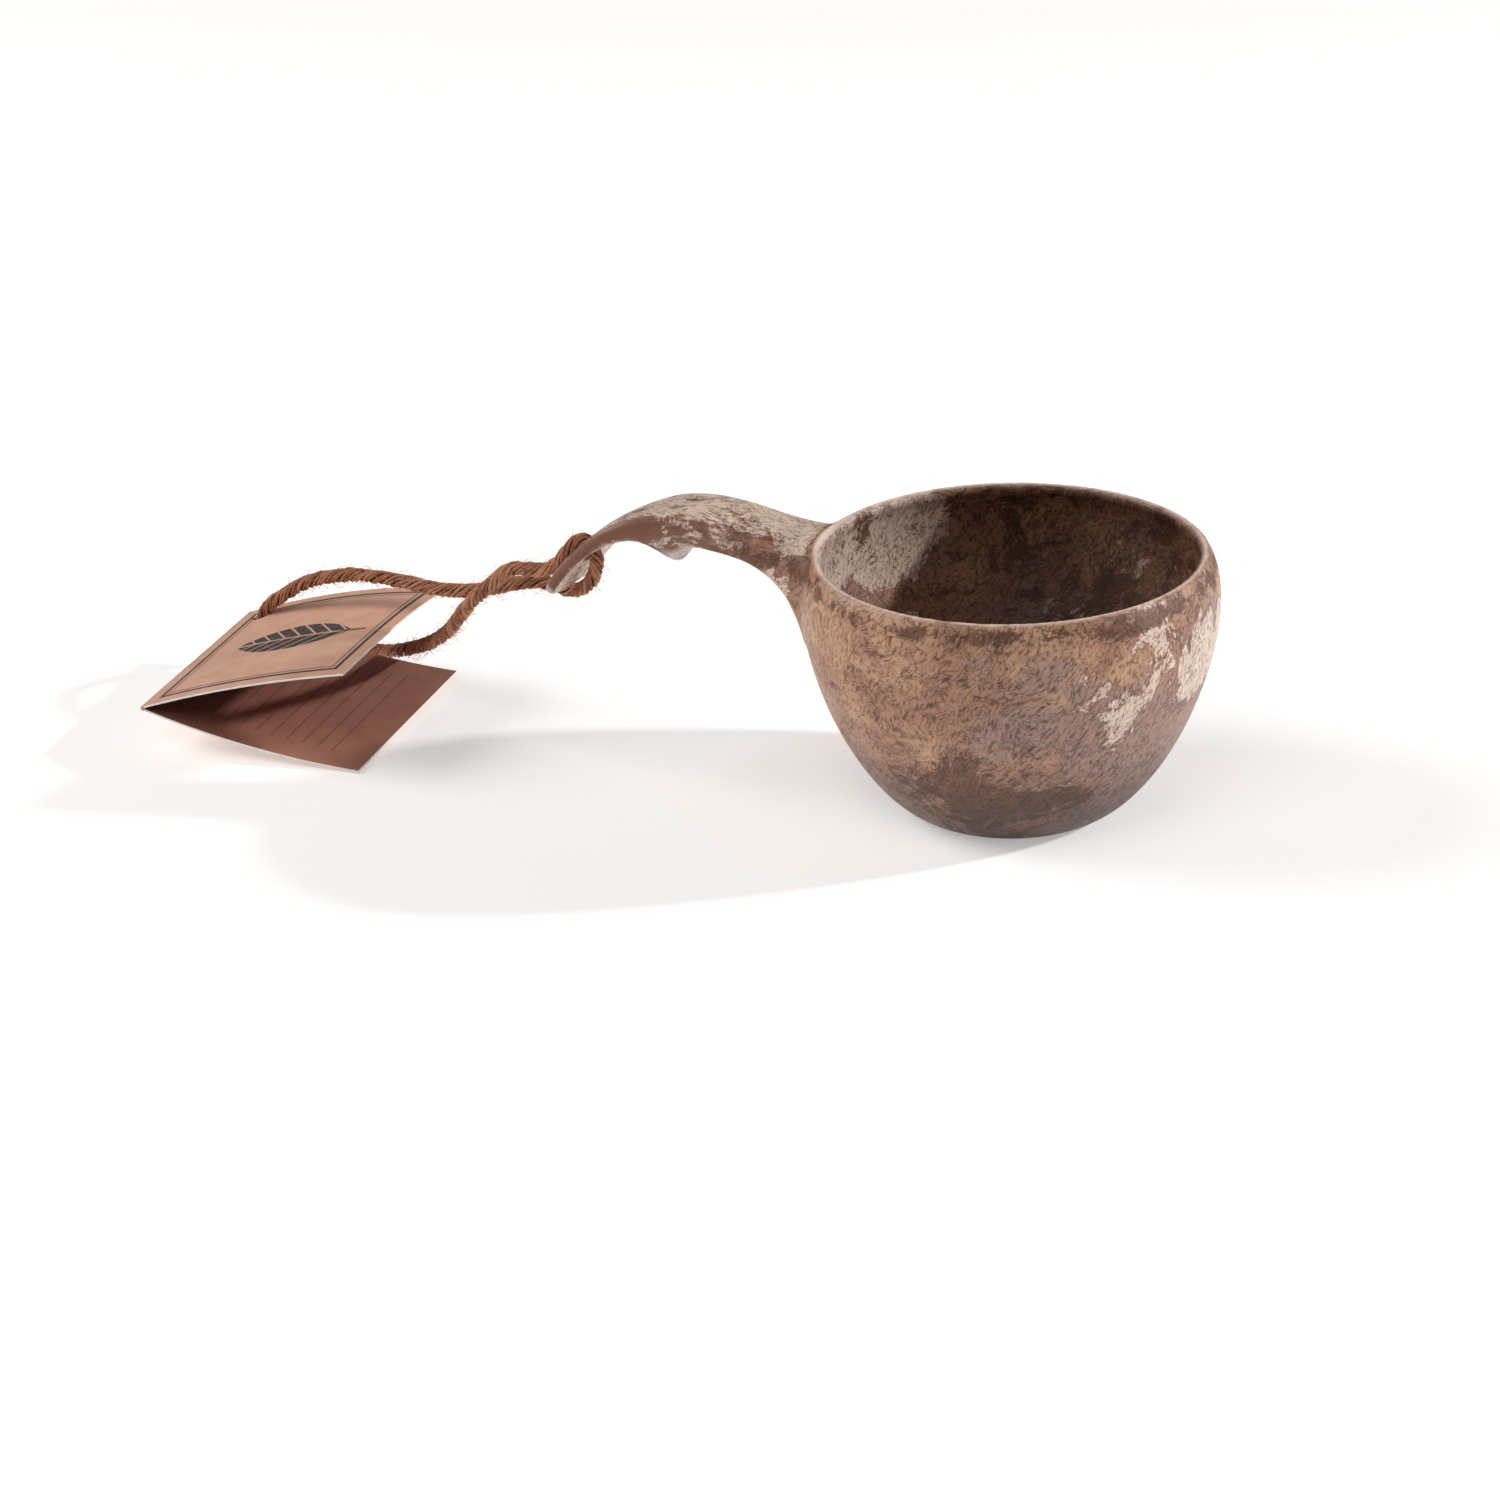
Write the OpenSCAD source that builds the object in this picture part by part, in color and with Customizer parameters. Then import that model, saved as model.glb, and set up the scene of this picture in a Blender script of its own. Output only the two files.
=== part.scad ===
// Kuksa cup: a round bowl and an arched handle moulded in one piece.
// A twisted cord runs through a hole near the handle's end and carries a folded card tag.
// Millimetres. The bowl's axis is Z, its foot stands on z = 0 and the handle points along -X.

/* [Bowl] */
// Widest outside diameter of the bowl
bowl_d = 95; // [93:0.5:96]
// Height from the foot to the top of the lip
bowl_h = 62; // [61:0.5:63]
// Diameter of the flat foot
foot_d = 44; // [40:1:46]
// Outside diameter at the lip
lip_d = 88.5; // [88:0.5:91]
// Thickness of the wall, whose top is rounded over into the lip
wall_t = 2.8; // [2.4:0.1:3.2]

/* [Handle] */
// Half width of the handle at its neck
neck_w = 10.5; // [10:0.5:11.5]
// Half width of the handle at its broad end
end_w = 11.5; // [11:0.5:12.5]
// Turn of the handle's end about its own line, which lifts the edge on the -Y side
end_roll = 9; // [7:1:10]
// Thickness of the handle over the arch
arch_t = 7; // [6:0.1:7.6]
// Thickness of the handle at its thin end
end_t = 2.6; // [2.4:0.1:3]
// Depth of the finger stop under the arch
stop_depth = 6; // [4:0.5:7]
// Diameter of the hole for the cord
hole_d = 7; // [6.5:0.5:8]

/* [Cord and tag] */
// Diameter of the twisted cord
cord_d = 3.4; // [3:0.1:3.4]
// Diameter of the knot under the tag
knot_d = 9; // [8:0.5:9]
// Side of the square tag when it is folded
tag_w = 58; // [57:0.5:59]
// Thickness of the card
card_t = 0.6; // [0.4:0.1:0.7]
// Diameter of the punched holes in the tag
punch_d = 5.6; // [5.4:0.1:6]
// Slope at which the back leaf falls from the fold
back_slope = 10; // [8:0.5:10]
// Slope at which the front leaf rises from the fold
front_slope = 15; // [13:0.5:20]

/* [Hidden] */
$fn = 96;

function unit(v) = v / norm(v);
function left_of(v) = [-v[1], v[0]];
function clamp(x) = min(max(x, 0), 1);
function ease(x) = clamp(x) * clamp(x) * (3 - 2 * clamp(x));
function signed_pow(x, power) = sign(x) * pow(abs(x), power);

// Catmull-Rom curve through a list of points, at a place u from 0 to len - 1
function knot_at(points, i) = points[min(max(i, 0), len(points) - 1)];
function through(p0, p1, p2, p3, t) =
    0.5 * (2 * p1 + (p2 - p0) * t + (2 * p0 - 5 * p1 + 4 * p2 - p3) * t * t
    + (3 * p1 - p0 - 3 * p2 + p3) * t * t * t);
function curve(points, u) = let (i = min(floor(u), len(points) - 2))
    through(knot_at(points, i - 1), points[i], points[i + 1], knot_at(points, i + 2), u - i);
function curve_rings(points, steps) =
    [for (k = [0 : steps]) curve(points, (len(points) - 1) * k / steps)];
function direction(path, i) = unit(path[min(i + 1, len(path) - 1)] - path[max(i - 1, 0)]);

// Faces of a tube whose rings are listed one after the other, with both ends closed
function tube_faces(rings, sides) = concat(
    [[for (j = [sides - 1 : -1 : 0]) j]],
    [for (i = [0 : rings - 2], j = [0 : sides - 1]) let (a = i * sides + j, b = i * sides + (j + 1) % sides)
        for (face = [[a, b, b + sides], [a, b + sides, a + sides]]) face],
    [[for (j = [0 : sides - 1]) (rings - 1) * sides + j]]
);

// ---- Bowl: a power curve from the foot to the widest level, then a short turn inwards
widest_z = 0.78 * bowl_h;
swell_power = 1.6;
foot_power = 0.66;
turn_power = 3;
function outer_r(z) = z < widest_z
    ? foot_d / 2 + (bowl_d - foot_d) / 2 * pow(1 - pow(1 - z / widest_z, swell_power), foot_power)
    : bowl_d / 2 - (bowl_d - lip_d) / 2 * pow((z - widest_z) / (bowl_h - widest_z), turn_power);

lip_r = wall_t / 2;
outline_steps = 28;
// Levels crowd towards the foot, where the outline turns fastest
level_crowding = 1.8;
// The inside starts this many levels up the outside, which makes the floor as thick as the wall
floor_level = 2;
outline = [for (i = [0 : outline_steps])
    let (z = (bowl_h - lip_r) * pow(i / outline_steps, level_crowding)) [outer_r(z), z]];
inner_outline = [for (i = [floor_level : outline_steps])
    outline[i] + wall_t * left_of(direction(outline, i))];
lip_centre = (outline[outline_steps] + inner_outline[len(inner_outline) - 1]) / 2;
lip_turn = 20;
lip_arc = [for (a = [lip_turn : lip_turn : 180 - lip_turn]) let (out = outline[outline_steps] - lip_centre)
    lip_centre + [out[0] * cos(a) - out[1] * sin(a), out[0] * sin(a) + out[1] * cos(a)]];
inner_top = inner_outline[len(inner_outline) - 1];
// The cavity is cut this far past the lip
cavity_h = bowl_h + 20;

// ---- Handle: the line down the middle of its top, as [reach past the lip, rise above the lip]
lip_side = lip_d / 2;
handle_line = [
    [-6, -2.5], [0, -1.2], [9, 1.2], [18, 3.8], [27, 5.4], [35, 5.6], [42, 4],
    [48, 1.2], [53, -2.4], [57.2, -6.4], [60.6, -10.6], [62.9, -14.1], [64.4, -16.8]
];
handle_steps = 48;
section_sides = 24;
// The end is rounded over this length of the line, to a tip of this share of the width
end_round = 8;
end_power = 2.8;
tip_share = 0.25;
// Powers that square up the cross section, across and through
across_power = 0.5;
through_power = 0.7;
// The root flares by these amounts, in width and in thickness, and the flare fades over this reach
root_flare_w = 4;
root_flare_t = 12;
root_fade = 5.3;
// The handle widens from its neck, thins behind the finger stop and rolls, over these reaches
neck_at = 18;
widening = 40;
thinning_at = 32;
thinning = 28;
roll_at = 22;
rolling = 26;
stop_at = 35;
stop_half = 6;
hole_at = 57;
line_points = curve_rings(handle_line, handle_steps);
function line_left(i) = i >= handle_steps ? 0
    : norm(line_points[i + 1] - line_points[i]) + line_left(i + 1);
function rounding(i) = let (inside = clamp((end_round - line_left(i)) / end_round))
    pow(max(1 - pow(inside, end_power), pow(tip_share, end_power)), 1 / end_power);
function fade(reach) = exp(-max(reach, 0) / root_fade);
function half_width(i) = let (reach = line_points[i][0], wider = ease((reach - neck_at) / widening))
    (neck_w + (end_w - neck_w) * wider + root_flare_w * fade(reach)) * rounding(i);
function thickness(i) = let (reach = line_points[i][0])
    arch_t + (end_t - arch_t) * ease((reach - thinning_at) / thinning) + root_flare_t * fade(reach);
function stop_drop(i, side) = let (off = (line_points[i][0] - stop_at) / stop_half)
    stop_depth * exp(-off * off) * (1 - side * side);
// One point of the cross section: a is the angle round it, 90 on top and 270 underneath
function section_point(i, a) = let (
    side = signed_pow(cos(a), across_power),
    rise = (signed_pow(sin(a), through_power) - 1) / 2 * thickness(i),
    lift = sin(a) < 0 ? rise - stop_drop(i, side) * abs(sin(a)) : rise,
    off = side * half_width(i),
    roll = end_roll * ease((line_points[i][0] - roll_at) / rolling),
    at = line_points[i] + (lift * cos(roll) - off * sin(roll)) * left_of(direction(line_points, i))
) [-lip_side - at[0], off * cos(roll) + lift * sin(roll), bowl_h + at[1]];
handle_points = [for (i = [0 : handle_steps], j = [0 : section_sides - 1])
    section_point(i, 360 * j / section_sides)];

// The hole stands square to the handle's top, at the last step of the line before hole_at
hole_i = len([for (p = line_points) if (p[0] < hole_at) p]) - 1;
hole_rise = left_of(direction(line_points, hole_i));
hole_point = [-lip_side - line_points[hole_i][0], 0, bowl_h + line_points[hole_i][1]];
hole_tilt = atan2(-hole_rise[0], hole_rise[1]);

// ---- Tag: the near end of the fold, its heading from +X and its rise towards the punched corner
fold_corner = [-213, -18, 11];
fold_heading = 87;
fold_rise = 2;
crease_gap = 0.3;
punch_along = 52;
punch_in = 7;

// ---- Cord: two strands of one loop, each from the middle of the handle's hole to the knot
knot_centre = [-203.6, 33.6, 4.8];
tail_d = 3;
tail_reach = 12;
tail_dip = 8;
tail_headings = [-40, -78];
cord_sides = 8;
strand_steps = 36;
// Out under the handle's end, over in an arch and down through both leaves of the tag
upper_route = [
    [-100.4, 0, 54.8], [-99.5, 0.2, 52.8], [-99.6, 0.8, 50.4], [-100.5, 1.8, 47.6], [-102.4, 3, 44.6],
    [-105.1, 4.2, 42.2], [-108.8, 5.6, 41], [-112.8, 6.6, 41.5], [-117.4, 7, 42], [-123, 7, 41],
    [-130, 8, 38.8], [-137, 9.6, 37], [-145, 12, 35.8], [-152.6, 15, 35.4], [-159, 17.6, 35],
    [-167, 20.6, 34.2], [-175, 24, 32.6], [-183.4, 27, 29.8], [-190.2, 29.2, 26.6],
    [-196.4, 31.2, 22.4], [-201.4, 33, 18.4], [-203.5, 33.6, 15], [-203.6, 33.6, 11.6],
    [-203.6, 33.6, 8]
];
// Out over the handle's end, across the first strand and down to the floor behind the tag
lower_route = [
    [-100.4, 0, 54.8], [-101.6, -0.3, 56.5], [-103.4, -0.8, 56.2], [-105.2, -1.3, 54.5],
    [-106.9, -1.6, 52.4], [-109, -1.5, 50.1], [-112, -1, 48.5], [-116.4, 0, 47.8], [-121, 1.8, 47],
    [-124.2, 2.4, 45.2], [-127, 2.9, 42.6], [-131, 4.3, 39], [-135.6, 7.4, 34.2], [-140, 12.4, 29.4],
    [-147.4, 21, 21], [-156, 29, 13.8], [-166, 38, 7.6], [-174.4, 44, 3.8], [-182, 47.6, 2],
    [-189, 48, 1.8], [-195, 45, 2.2], [-199.6, 40.2, 3.4], [-202, 36.6, 4.4]
];
// The rings' first spoke leans this way, across both strands
spoke_lean = [0.35, 0.94, 0];

module outer_bowl() {
    rotate_extrude()
        polygon(concat([[0, 0]], outline, lip_arc, [inner_top, [0, inner_top[1]]]));
}

module cavity() {
    rotate_extrude()
        polygon(concat([[0, inner_outline[0][1]]], inner_outline,
            [[inner_top[0], cavity_h], [0, cavity_h]]));
}

module handle() {
    polyhedron(handle_points, tube_faces(handle_steps + 1, section_sides), convexity = 4);
}

module cord_hole() {
    translate(hole_point)
        rotate([0, hole_tilt, 0])
            rotate([-end_roll, 0, 0])
                cylinder(d = hole_d, h = 4 * arch_t, center = true);
}

module cup() {
    color("tan")
        difference() {
            union() {
                outer_bowl();
                handle();
            }
            cavity();
            cord_hole();
        }
}

module strand(route) {
    path = curve_rings(route, strand_steps);
    points = [for (i = [0 : strand_steps])
        let (along = direction(path, i), spoke = unit(spoke_lean - (spoke_lean * along) * along))
            let (other = cross(spoke, along))
                for (a = [0 : 360 / cord_sides : 359])
                    path[i] + cord_d / 2 * (cos(a) * spoke + sin(a) * other)];
    color("sienna")
        polyhedron(points, tube_faces(strand_steps + 1, cord_sides), convexity = 6);
}

module cord_upper_strand() {
    strand(upper_route);
}

module cord_lower_strand() {
    strand(lower_route);
}

module cord_knot() {
    color("sienna")
        translate(knot_centre) {
            sphere(d = knot_d);
            for (heading = tail_headings)
                rotate([0, 90 + tail_dip, heading])
                    cylinder(d = tail_d, h = tail_reach);
        }
}

module on_fold() {
    translate(fold_corner)
        rotate([0, 0, fold_heading - 90])
            rotate([fold_rise, 0, 0])
                children();
}

module leaf() {
    linear_extrude(card_t)
        difference() {
            translate([crease_gap, 0])
                square([tag_w - crease_gap, tag_w]);
            translate([punch_in, punch_along])
                circle(d = punch_d);
        }
}

module tag_front_leaf() {
    color("rosybrown")
        on_fold()
            rotate([0, -front_slope, 0])
                leaf();
}

module tag_back_leaf() {
    color("rosybrown")
        on_fold()
            rotate([0, back_slope, 0])
                translate([0, 0, -card_t])
                    leaf();
}

cup();
cord_upper_strand();
cord_lower_strand();
cord_knot();
tag_front_leaf();
tag_back_leaf();
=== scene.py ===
"""The looks of a kuksa cup with its cord and folded tag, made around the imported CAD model. Metres."""
import math

import bpy
import numpy as np
from mathutils import Matrix, Vector
from mathutils.geometry import delaunay_2d_cdt


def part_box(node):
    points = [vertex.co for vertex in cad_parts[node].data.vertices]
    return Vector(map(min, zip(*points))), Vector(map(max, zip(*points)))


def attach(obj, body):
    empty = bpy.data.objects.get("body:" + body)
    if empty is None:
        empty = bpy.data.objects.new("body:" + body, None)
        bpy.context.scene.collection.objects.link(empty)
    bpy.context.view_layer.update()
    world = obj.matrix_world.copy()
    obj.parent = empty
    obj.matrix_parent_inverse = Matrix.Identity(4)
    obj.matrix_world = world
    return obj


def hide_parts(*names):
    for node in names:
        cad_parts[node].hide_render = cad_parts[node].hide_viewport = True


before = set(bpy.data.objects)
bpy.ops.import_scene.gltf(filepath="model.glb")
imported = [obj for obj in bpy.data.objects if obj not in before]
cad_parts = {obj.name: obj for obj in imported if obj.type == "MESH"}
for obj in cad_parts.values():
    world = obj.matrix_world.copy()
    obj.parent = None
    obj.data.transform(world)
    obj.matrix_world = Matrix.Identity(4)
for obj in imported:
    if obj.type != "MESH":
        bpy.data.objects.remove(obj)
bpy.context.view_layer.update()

MM = 0.001
UP = np.array([0.0, 0.0, 1.0])

# ---- Cup, in millimetres
BOWL_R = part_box("cup")[1].x / MM
BOWL_H = 62.0
FOOT_R = 22.0
LIP_OUT_R = 44.25
WALL = 2.8
WIDEST_Z = 0.78 * BOWL_H
SWELL_POWER, FOOT_POWER, TURN_POWER = 1.6, 0.66, 3.0
# The line down the middle of the handle's top, as reach past the lip and rise above the bowl
HANDLE_LINE = [
    (-6, -2.5), (0, -1.2), (9, 1.2), (18, 3.8), (27, 5.4), (35, 5.6), (42, 4),
    (48, 1.2), (53, -2.4), (57.3, -6.4), (60.9, -10.6), (63.5, -14.1), (65.4, -17),
]
NECK_W, END_W = 10.5, 11.5
NECK_AT, WIDENING = 18.0, 40.0
ARCH_T, END_T = 7.0, 2.6
THINNING_AT, THINNING = 32.0, 28.0
STOP_AT, STOP_DEPTH, STOP_POWER = 35.2, 7.0, 2.7
STOP_BEFORE, STOP_AFTER = 5.8, 6.6
ROLL, ROLL_AT, ROLLING = 9.0, 22.0, 26.0
END_ROUND, END_POWER = 8.0, 2.8
ROOT_FLARE_W, ROOT_FADE = 3.0, 5.3
ROOT_ARC_AT, ROOT_ARC = 2.4, 15.0
ROOT_BLEND, LIP_BLEND, BLEND_DEPTH = 4.0, 1.6, 10.0
HOLE_AT, HOLE_R, HOLE_ROUND = 57.0, 3.5, 0.5
# The hole is cut this far to either side of the handle's line
HOLE_DEPTH = 14.0
HANDLE_STEPS = 90
# The handle joins the wall only where x is below this
HANDLE_SIDE_X = -30.0
# The space that holds the cup
CUP_LOW, CUP_HIGH = (-113.0, -49.2, -1.6), (49.2, 49.2, 70.0)
# Spacing of the grid that the cup's skin is made on, and of the tables that the grid reads
CUP_GRID, QUICK_GRID = 0.85, 1.4
TABLE_STEP, QUICK_TABLE_STEP = 0.1, 0.15

# ---- Cord, in metres: the routes of its two strands, from the middle of the handle's hole to the knot
CORD_D = 0.0034
PATH_STEP = 0.0005
# The yarns turn once in this length, and its sign is the hand of the twist
TWIST = -0.0155
# Rings of yarns as (count, distance from the middle and radius in cord diameters, tone); the inner ring's low
# tone paints it nearly black as painted shade
YARN_RINGS = ((9, 0.405, 0.112, 0.0), (4, 0.19, 0.15, -3.0))
YARN_SIDES = 7
# How much a yarn's turn in radians, and the shares by which its distance and its radius, wander along it
TURN_WANDER, REACH_WANDER, RADIUS_WANDER = 0.22, 0.09, 0.25
# Loose fibres on each strand: number, greatest length, radius, and greatest distance from the middle
HAIRS, HAIR_LENGTH, HAIR_R, HAIR_REACH = 460, 0.006, 0.00006, 0.0034
UPPER_ROUTE = [
    (-0.1004, 0, 0.0548), (-0.0995, 0.0002, 0.0528), (-0.0996, 0.0008, 0.0504),
    (-0.1005, 0.0018, 0.0476), (-0.1024, 0.003, 0.0446), (-0.1051, 0.0042, 0.0422),
    (-0.1088, 0.0056, 0.041), (-0.1128, 0.0066, 0.0415), (-0.1174, 0.007, 0.042),
    (-0.123, 0.007, 0.041), (-0.13, 0.008, 0.0388), (-0.137, 0.0096, 0.037), (-0.145, 0.012, 0.0358),
    (-0.1526, 0.015, 0.0354), (-0.159, 0.0176, 0.035), (-0.167, 0.0206, 0.0342),
    (-0.175, 0.024, 0.0326), (-0.1834, 0.027, 0.0298), (-0.1902, 0.0292, 0.0266),
    (-0.1964, 0.0312, 0.0224), (-0.2014, 0.033, 0.0184), (-0.2035, 0.0336, 0.015),
    (-0.2036, 0.0336, 0.0116), (-0.2036, 0.0336, 0.008),
]
LOWER_ROUTE = [
    (-0.1004, 0, 0.0548), (-0.1016, -0.0003, 0.0565), (-0.1034, -0.0008, 0.0562),
    (-0.1052, -0.0013, 0.0545), (-0.1069, -0.0016, 0.0524), (-0.109, -0.0015, 0.0501),
    (-0.112, -0.001, 0.0485), (-0.1164, 0, 0.0478), (-0.121, 0.0018, 0.047), (-0.1242, 0.0024, 0.0452),
    (-0.127, 0.0029, 0.0426), (-0.131, 0.0043, 0.039), (-0.1356, 0.0074, 0.0342),
    (-0.14, 0.0124, 0.0294), (-0.1474, 0.021, 0.021), (-0.156, 0.029, 0.0138), (-0.166, 0.038, 0.0076),
    (-0.1744, 0.044, 0.0038), (-0.182, 0.0476, 0.002), (-0.189, 0.048, 0.0018), (-0.195, 0.045, 0.0022),
    (-0.1996, 0.0402, 0.0034), (-0.202, 0.0366, 0.0044),
]
KNOT_CENTRE = np.array([-0.2036, 0.0336, 0.0048])
KNOT_SIZE, KNOT_TILT, KNOT_TURN = 0.00098, 62, 25
TAIL_HEADINGS = (-40, -78)
# A tail's route, as distance from the knot's middle and drop below it
TAIL_ROUTE = ((0.002, 0.0), (0.006, 0.001), (0.0095, 0.0022), (0.0118, 0.0026))
# Fibres of a frayed end: number, radius and greatest length
FRAYED, FRAY_R, FRAY_LENGTH = 26, 0.00012, 0.0032

# ---- Tag, in metres
TAG_W = 0.058
CARD_T = 0.0005
FOLD_CORNER = np.array([-0.213, -0.018, 0.011])
FOLD_HEADING, FOLD_RISE = 87, 2
FRONT_SLOPE, BACK_SLOPE = 15, -10
CREASE_R = 0.0006
PUNCH = (0.007, 0.052)
PUNCH_R = 0.0028
FRONT_BULGE, BACK_BULGE, CORNER_DROOP = 0.0012, -0.0018, 0.003

# ---- Camera: the middle of the lens, where it heads, how far it looks down and how far it leans
CAMERA_PLACE = (0.1728, -0.7276, 0.3524)
CAMERA_HEADING, CAMERA_DIP, CAMERA_ROLL = 18.0, 24.37, -2.54
LENS = 85


# ================= helpers =================
def turn(axis, degrees):
    return np.array(Matrix.Rotation(math.radians(degrees), 3, axis))


def catmull_rom(points, u):
    """Points of the curve through a list of points, at the places u from 0 to len - 1."""
    points = np.array(points, float)
    i = np.minimum(u.astype(int), len(points) - 2)
    t = (u - i)[:, None]
    p0, p1 = points[np.maximum(i - 1, 0)], points[i]
    p2, p3 = points[i + 1], points[np.minimum(i + 2, len(points) - 1)]
    return 0.5 * (
        2 * p1 + (p2 - p0) * t + (2 * p0 - 5 * p1 + 4 * p2 - p3) * t**2 + (3 * p1 - p0 - 3 * p2 + p3) * t**3
    )


def evenly(line, step):
    """The line again with points about step apart."""
    along = np.concatenate([[0], np.cumsum(np.linalg.norm(np.diff(line, axis=0), axis=1))])
    at = np.linspace(0, along[-1], max(2, int(round(along[-1] / step)) + 1))
    return np.stack([np.interp(at, along, line[:, k]) for k in range(line.shape[1])], axis=1)


def curve_through(route, step):
    dense = catmull_rom(route, np.linspace(0, len(route) - 1, 40 * len(route)))
    return evenly(dense, step)


def unit(v):
    return v / np.maximum(np.linalg.norm(v, axis=-1, keepdims=True), 1e-12)


def tangents(path):
    return unit(np.gradient(path, axis=0))


def carried_normals(path):
    """A normal at each point of a path, carried along it without twist."""
    along = tangents(path)
    first = np.cross(along[0], UP if abs(along[0][2]) < 0.9 else np.array([1.0, 0, 0]))
    normals = [first / np.linalg.norm(first)]
    for t in along[1:]:
        n = normals[-1] - normals[-1].dot(t) * t
        normals.append(n / np.linalg.norm(n))
    return np.array(normals)


def smooth_noise(rng, n, knots):
    """n values that wander between -1 and 1 through a number of random knots."""
    return catmull_rom(rng.uniform(-1, 1, (knots, 1)), np.linspace(0, knots - 1, n))[:, 0]


def smooth_step(x, low, high):
    t = np.clip((x - low) / (high - low), 0, 1)
    return t * t * (3 - 2 * t)


class Shape:
    """Vertices, faces and values per vertex, gathered into one mesh."""

    def __init__(self):
        self.points, self.faces, self.values, self.count = [], [], {}, 0

    def add(self, points, faces, **values):
        self.points.append(points)
        self.faces.append(np.asarray(faces) + self.count)
        for name, value in values.items():
            self.values.setdefault(name, []).append(np.broadcast_to(value, len(points)))
        self.count += len(points)

    def tube(self, path, radius, sides, lean, **values):
        """A tube round a path. lean is a direction per point that the first corner leans to."""
        along = tangents(path)
        side = unit(lean - (lean * along).sum(1, keepdims=True) * along)
        other = np.cross(along, side)
        angle = np.linspace(0, 2 * math.pi, sides, endpoint=False)
        ring = np.cos(angle)[None, :, None] * side[:, None] + np.sin(angle)[None, :, None] * other[:, None]
        radius = np.broadcast_to(radius, len(path))
        points = path[:, None] + ring * radius[:, None, None]
        n = len(path)
        i, j = np.meshgrid(np.arange(n - 1), np.arange(sides), indexing="ij")
        a, b = i * sides + j, i * sides + (j + 1) % sides
        quads = np.stack([a, b, b + sides, a + sides], -1).reshape(-1, 4)
        values = {k: np.repeat(np.broadcast_to(v, n), sides) for k, v in values.items()}
        self.add(points.reshape(-1, 3), quads, **values)
        first = self.count - n * sides
        for start, order in ((first, -1), (self.count - sides, 1)):
            cap = np.arange(sides)[::order] + start
            fan = np.stack([np.full(sides - 2, cap[0]), cap[1:-1], cap[2:], cap[2:]], -1)
            self.faces.append(fan)

    def build(self, name, smooth=True):
        mesh = bpy.data.meshes.new(name)
        faces = [tuple(dict.fromkeys(f)) for part in self.faces for f in part.tolist()]
        mesh.from_pydata(np.concatenate(self.points), [], faces)
        mesh.polygons.foreach_set("use_smooth", [smooth] * len(mesh.polygons))
        for key, parts in self.values.items():
            layer = mesh.attributes.new(key, "FLOAT", "POINT")
            layer.data.foreach_set("value", np.concatenate(parts).astype(np.float32))
        piece = bpy.data.objects.new(name, mesh)
        bpy.context.scene.collection.objects.link(piece)
        return piece


# ================= camera =================
lens = bpy.data.cameras.new("camera")
lens.lens, lens.sensor_width, lens.clip_end = LENS, 36, 20
camera = bpy.data.objects.new("camera", lens)
camera.matrix_world = (
    Matrix.Translation(CAMERA_PLACE)
    @ Matrix.Rotation(math.radians(CAMERA_HEADING), 4, "Z")
    @ Matrix.Rotation(math.radians(90 - CAMERA_DIP), 4, "X")
    @ Matrix.Rotation(math.radians(CAMERA_ROLL), 4, "Z")
)
bpy.context.scene.collection.objects.link(camera)
bpy.context.scene.camera = camera


# ================= cord =================
def lay_yarns(shape, path, rng, spread=None):
    """The twisted yarns of a cord along a path. spread widens the bundle towards a frayed end."""
    n = len(path)
    along = np.concatenate([[0], np.cumsum(np.linalg.norm(np.diff(path, axis=0), axis=1))])
    normal = carried_normals(path)
    other = np.cross(tangents(path), normal)
    spread = np.ones(n) if spread is None else spread
    knots = max(4, int(along[-1] / 0.005))
    for count, reach, thick, tone in YARN_RINGS:
        for yarn in range(count):
            turned = 2 * math.pi * (yarn / count + along / TWIST) + TURN_WANDER * smooth_noise(rng, n, knots)
            out = np.cos(turned)[:, None] * normal + np.sin(turned)[:, None] * other
            off = CORD_D * reach * spread * (1 + REACH_WANDER * smooth_noise(rng, n, 2 * knots))
            radius = CORD_D * thick * (1 + RADIUS_WANDER * smooth_noise(rng, n, 2 * knots))
            shape.tube(
                path + out * off[:, None], radius, YARN_SIDES, out,
                tone=tone + rng.uniform(-1, 1), along=along, strand=rng.uniform(0, 99),
            )


def lay_hairs(shape, path, rng):
    """Loose fibres that leave a cord's surface along its length."""
    along = tangents(path)
    for _ in range(HAIRS):
        i = rng.integers(2, len(path) - 3)
        side = rng.normal(size=3)
        side = unit(side - side.dot(along[i]) * along[i])
        heading = unit(along[i] * rng.choice([-1, 1]) + side * rng.uniform(0.1, 0.9))
        curl = np.cross(heading, rng.normal(size=3)) * rng.uniform(0.2, 0.9)
        length = rng.uniform(0.3, 1.0) * HAIR_LENGTH
        t = np.linspace(0, 1, 7)[:, None]
        line = path[i] + side * CORD_D * 0.42 + heading * length * t + curl * length * t**2
        middle = path[np.linalg.norm(line[:, None] - path, axis=2).argmin(1)]
        away = line - middle
        line = middle + away * np.minimum(1, HAIR_REACH / np.linalg.norm(away, axis=1, keepdims=True))
        line[:, 2] = np.maximum(line[:, 2], 0.0002)
        radius = HAIR_R * (1 - 0.6 * t[:, 0])
        lean = np.broadcast_to(side, line.shape)
        shape.tube(line, radius, 3, lean, tone=1.0, along=0.0, strand=rng.uniform(0, 99))


def strand(name, route, node, seed):
    """One strand of the cord from the handle's hole to the knot, and the path down its middle."""
    path = curve_through(route, PATH_STEP)
    rng = np.random.default_rng(seed)
    shape = Shape()
    lay_yarns(shape, path, rng)
    lay_hairs(shape, path, rng)
    piece = shape.build(name)
    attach(piece, "cup")
    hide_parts(node)
    return piece, path


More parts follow.
